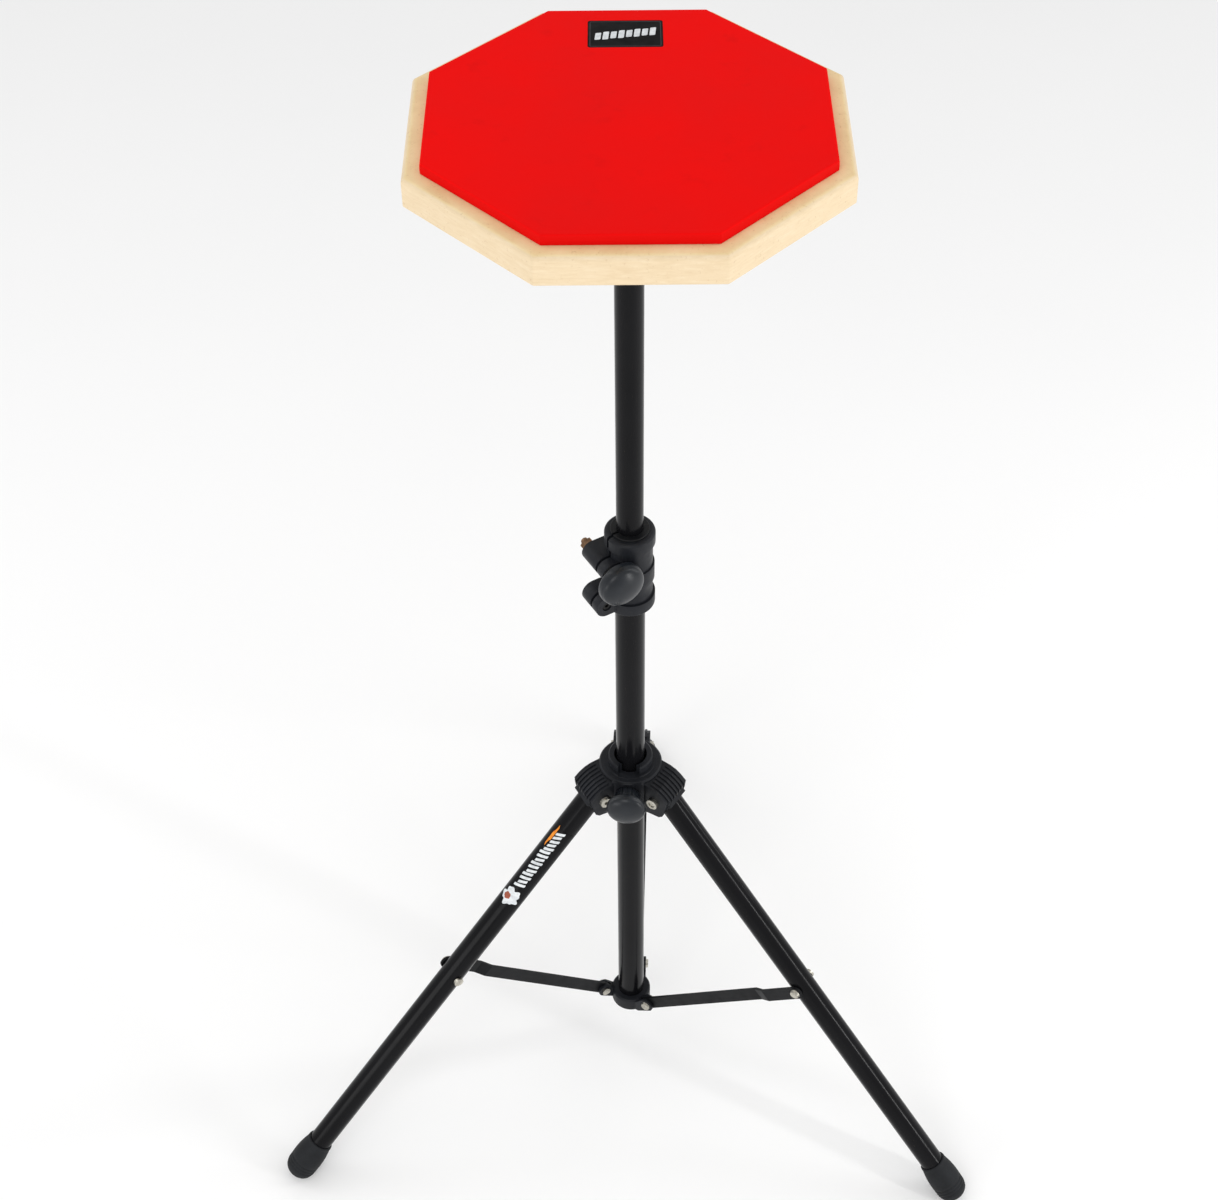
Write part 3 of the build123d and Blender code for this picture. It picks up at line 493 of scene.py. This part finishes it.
def build_label():
    """Sewn edge and a plain slanted mark on the black label."""
    low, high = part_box("label_patch")
    top = high.z
    outer = rounded_rect(low.x + 0.0012, high.x - 0.0012, low.y + 0.0012, high.y - 0.0012, 0.0014)
    inner = rounded_rect(low.x + 0.0019, high.x - 0.0019, low.y + 0.0019, high.y - 0.0019, 0.0009)
    verts, faces = flat_ring(outer, inner, top - 0.0001, top + 0.00005)
    new_piece("label_edge_line", verts, faces, GREY, "head")
    cx, cy = (low.x + high.x) / 2, (low.y + high.y) / 2
    tilt = radians(9)

    def bar(x0, x1, y0, y1, lean):
        pts = rounded_rect(x0, x1, y0, y1, 0.0008, 4)
        out = []
        for x, y in pts:
            x = x + lean * y
            out.append((cx + x * cos(tilt) - y * sin(tilt), cy + x * sin(tilt) + y * cos(tilt)))
        return slab(out, top - 0.0001, top + 0.00006)

    pitch, count = 0.0056, 8
    shells = []
    for k in range(count):
        x = (k - (count - 1) / 2) * pitch
        tall = 0.0050 if k % 2 else 0.0044
        shells.append(bar(x - 0.0021, x + 0.0021, -tall, tall, 0.25))
    verts, faces = joined(*shells)
    new_piece("label_mark", verts, faces, WHITE, "head")


# ---- knobs ----------------------------------------------------------------
def fluted(radius, depth, count):
    """Radius with shallow finger grooves."""
    return lambda a: radius - depth * max(0.0, cos(count * a)) ** 3


def build_clamp_knob():
    axis = -sideways(CLAMP_TURN)
    centre = outward(CLAMP_TURN) * CLAMP_KNOB_R + UP * CLAMP_KNOB_Z
    rings = [(12.0, 3.2), (12.0, 6.6), (12.4, 7.1), (14.6, 7.3), (15.8, 8.2), (16.8, 9.9), (18.4, 13.8)]
    rings += [(19.3, 16.4), (19.9, 18.3), (20.5, 19.0), (21.3, 19.4), (22.4, 19.45), (24.8, 19.45)]
    rings += [(25.8, 19.3), (26.5, 18.9)]
    for i in range(1, 15):
        a = pi / 2 * i / 14
        rings.append((26.5 + 8.4 * sin(a), 18.9 * cos(a) + 0.02))
    shaped = [(d * MM, r * MM) for d, r in rings]
    verts, faces = loft(shaped, centre, axis, sides=96)
    new_piece("clamp_knob_cap", verts, faces, KNOB, "clamp_lock", 40, ("clamp_knob",))


def build_hub_knob():
    axis = outward(KNOB_TURN)
    centre = UP * HUB_KNOB_Z
    rings = [(28.2, 4.2), (28.2, 10.6), (28.8, 11.2), (29.6, 11.5), (37.6, 11.5), (38.6, 11.6), (39.4, 13.0)]
    rings += [(40.2, 15.2), (41.0, 16.4), (41.9, 17.1), (43.0, 17.45), (44.2, 17.4), (45.0, 17.0)]
    for i in range(1, 15):
        a = pi / 2 * i / 14
        rings.append((45.0 + 7.4 * sin(a), 17.0 * cos(a) + 0.02))
    shaped = []
    for d, r in rings:
        if 28.5 <= d <= 39.0:
            shaped.append((d * MM, fluted(r * MM, 0.0009, 16)))
        else:
            shaped.append((d * MM, r * MM))
    verts, faces = loft(shaped, centre, axis, sides=112)
    new_piece("hub_knob_cap", verts, faces, KNOB, "hub_lock", 40, ("hub_knob",))


# ---- feet -----------------------------------------------------------------
def build_foot(name):
    """Barrel foot with a lip at the top, three grip ribs and a ribbed sole."""
    turn = TURN[name]
    along = leg_along(turn)
    pivot = leg_pivot(turn)
    end = FOOT_END
    top = end - FOOT_LENGTH
    rings = [(top + 3.0, 11.05), (top, 11.1), (top, 12.0), (top + 0.5, 12.5), (top + 1.6, 12.7)]
    rings += [(top + 2.4, 12.4), (top + 3.4, 12.6), (top + 7.0, 13.3), (top + 12.0, 14.2)]
    rings += [(top + 18.0, 14.8), (top + 23.0, 14.95)]
    for k in range(3):
        base = top + 26.0 + 3.4 * k
        rings += [(base, 14.9 - 0.08 * k), (base + 0.7, 14.35 - 0.08 * k), (base + 1.4, 14.35 - 0.08 * k)]
        rings += [(base + 2.1, 14.85 - 0.1 * k)]
    rings += [(end - 7.6, 14.1), (end - 5.0, 13.2), (end - 3.0, 11.8), (end - 1.4, 10.1), (end - 0.4, 8.6)]
    rings += [(end - 0.1, 7.6), (end - 0.6, 6.8), (end - 0.6, 5.4), (end, 4.8), (end, 3.4), (end - 0.6, 2.8)]
    rings += [(end - 0.6, 0.6)]
    verts, faces = loft([(d * MM, r * MM) for d, r in rings], pivot, along, sides=72)
    verts = [Vector((v.x, v.y, max(v.z, 0.0))) for v in verts]
    piece, cad_node = f"rubber_foot_{name}", f"foot_{name}"
    new_piece(piece, verts, faces, RUBBER, f"leg_{name}", 50, (cad_node,))


# ---- leg sticker ----------------------------------------------------------
def on_left_leg(d, angle, radius):
    """The point at distance d down the left leg, at that angle and radius from its centre line."""
    turn = TURN["left"]
    along = leg_along(turn)
    s = sideways(turn)
    v = along.cross(s)
    return leg_pivot(turn) + along * d + (s * cos(angle) + v * sin(angle)) * radius


def curved_patch(d0, d1, a0, a1, radius, lean=0.0, corner=0.0006, cols=10, rows=10):
    """A patch on the left leg tube, from distance d0 to d1 down the leg and angle a0 to a1."""
    verts, faces = [], []
    for i in range(rows + 1):
        t = i / rows
        for j in range(cols + 1):
            w = j / cols
            a = radians(a0 + (a1 - a0) * w)
            edge = 0.0
            reach = min(t, 1 - t) * (d1 - d0)
            if reach < corner:
                edge = (corner - reach) * 0.5
            d = d0 + (d1 - d0) * t + lean * (w - 0.5)
            width = (a1 - a0) / 2
            squeeze = 1 - edge / (radius * abs(radians(width)) + 1e-9)
            mid = radians((a0 + a1) / 2)
            a = mid + (a - mid) * squeeze
            verts.append(on_left_leg(d, a, radius))
    for i in range(rows):
        for j in range(cols):
            k = i * (cols + 1) + j
            faces.append((k, k + 1, k + cols + 2, k + cols + 1))
    return verts, faces


def curved_disc(d, a, size, radius, steps=60, rings=6, lobes=0.0):
    """A splash on the left leg tube: a disc with uneven lobes."""
    verts, faces = [], []
    for i in range(rings + 1):
        for k in range(steps):
            b = 2 * pi * k / steps
            r = size * i / rings * (1 + lobes * (0.6 * sin(5 * b + 1) + 0.4 * sin(9 * b)))
            ang = radians(a) + r * sin(b) / radius
            verts.append(on_left_leg(d + r * cos(b), ang, radius))
    for i in range(rings):
        for k in range(steps):
            n = (k + 1) % steps
            faces.append((i * steps + k, i * steps + n, (i + 1) * steps + n, (i + 1) * steps + k))
    return verts, faces


def build_sticker():
    """Plain printed bars, a stripe and a splash in place of the maker's sticker."""
    bars = []
    for k in range(15):
        d = 0.051 + 0.0046 * k
        high = 251 if k < 4 else (262, 255, 264)[k % 3]
        low = (212, 216)[k % 2]
        bars.append(curved_patch(d, d + 0.0029, low, high, STICKER_R, 0.004))
    verts, faces = joined(*bars)
    new_piece("sticker_bars", verts, faces, WHITE, "leg_left")
    verts, faces = curved_patch(0.0485, 0.068, 254, 269.5, STICKER_R, 0.006, 0.003, 8, 20)
    new_piece("sticker_stripe", verts, faces, ORANGE, "leg_left")
    verts, faces = curved_disc(0.1315, 240, 0.0086, STICKER_R, lobes=0.24)
    new_piece("sticker_splash", verts, faces, WHITE, "leg_left")
    verts, faces = curved_disc(0.1325, 254, 0.0034, STICKER_R + 0.00003, lobes=0.1)
    new_piece("sticker_splash_spot", verts, faces, BROWN, "leg_left")


# ---- finish the CAD nodes -------------------------------------------------
FINISH = {
    "board_wood": WOOD,
    "pad_rubber": RED,
    "label_black": LABEL,
    "zinc_steel": ZINC,
    "clamp_brass": BRASS,
    "black_tube": PAINT,
    "black_plastic": NYLON,
    "black_strap": STRAP,
    "foot_rubber": RUBBER,
    "decal_silver": PAINT,
}
SOFT_EDGES = {"hub_body": 0.0006, "clamp_housing": 0.0009, "lower_collar": 0.0005}
slot_of = {s["node"]: s["material_slot"] for s in frame["record"]["subparts"]}
for name, obj in nodes.items():
    finish = FINISH[slot_of[name]]
    if name in ("hub_bush", "clamp_bush", "mast_guide", "mast_plug", "post_cap"):
        finish = BUSH
    if name in ("clamp_screw", "clamp_screw_nut"):
        finish = BLACK_STEEL
    if name == "clamp_bolt":
        finish = BRASS
    for k in range(len(obj.material_slots)):
        obj.material_slots[k].material = finish
    if name in SOFT_EDGES:
        weld = obj.modifiers.new("weld", "WELD")
        weld.merge_threshold = 0.00001
        soft = obj.modifiers.new("soft_edges", "BEVEL")
        soft.width = SOFT_EDGES[name]
        soft.segments = 3
        soft.limit_method = "ANGLE"
        soft.angle_limit = radians(38)

build_playing_rubber()
build_label()
build_clamp_knob()
build_hub_knob()
for leg in TURN:
    build_foot(leg)
build_sticker()

# ---- floor, light and camera ----------------------------------------------
floor_mesh = bpy.data.meshes.new("floor")
floor_mesh.from_pydata([(-12, -12, 0), (12, -12, 0), (12, 12, 0), (-12, 12, 0)], [], [(0, 1, 2, 3)])
floor_mesh.materials.append(floor_paper())
floor = bpy.data.objects.new("floor", floor_mesh)
scene.collection.objects.link(floor)
floor.location.z = -0.0002


def area_light(name, place, aim, size, size_y, watts):
    data = bpy.data.lights.new(name, "AREA")
    data.shape = "RECTANGLE"
    data.size = size
    data.size_y = size_y
    data.energy = watts
    obj = bpy.data.objects.new(name, data)
    scene.collection.objects.link(obj)
    obj.location = place
    obj.rotation_euler = (Vector(aim) - Vector(place)).to_track_quat("-Z", "Y").to_euler()


area_light("front_softbox", (-0.8, -2.6, 2.7), (0, 0, 0.7), 1.8, 1.4, 22)
area_light("low_left_box", (-1.9, -1.9, 0.55), (-0.15, -0.1, 0.3), 1.6, 0.8, 10)
area_light("right_kick", (2.0, -1.1, 0.75), (0.1, 0, 0.4), 0.11, 1.2, 12)
area_light("left_strip", (-1.9, 0.7, 1.6), (0, 0, 0.6), 0.25, 2.2, 6)
area_light("right_strip", (2.1, 0.4, 1.5), (0.1, 0, 0.3), 0.25, 2.4, 10)

world = bpy.data.worlds.new("studio")
world.use_nodes = True
world.node_tree.nodes["Background"].inputs["Color"].default_value = (1, 1, 1, 1)
world.node_tree.nodes["Background"].inputs["Strength"].default_value = 0.8
scene.world = world
scene.view_settings.view_transform = "Standard"

LENS, SENSOR = 63.326, 36.0
CAMERA_PLACE = (-0.00839, -1.24595, 1.86624)
pitch, pan, roll = radians(45.083), radians(0.4114), radians(-0.7252)
forward = Matrix.Rotation(pan, 3, "Z") @ Vector((0, cos(pitch), -sin(pitch)))
right = Matrix.Rotation(pan, 3, "Z") @ Vector((1, 0, 0))
up = right.cross(forward)
rolled_right = right * cos(roll) + up * sin(roll)
rolled_up = up * cos(roll) - right * sin(roll)
camera_data = bpy.data.cameras.new("camera")
camera_data.sensor_fit = "HORIZONTAL"
camera_data.sensor_width = SENSOR
camera_data.lens = LENS
camera = bpy.data.objects.new("camera", camera_data)
scene.collection.objects.link(camera)
turned = Matrix((rolled_right, rolled_up, -forward)).transposed().to_4x4()
camera.matrix_world = Matrix.Translation(CAMERA_PLACE) @ turned
scene.camera = camera
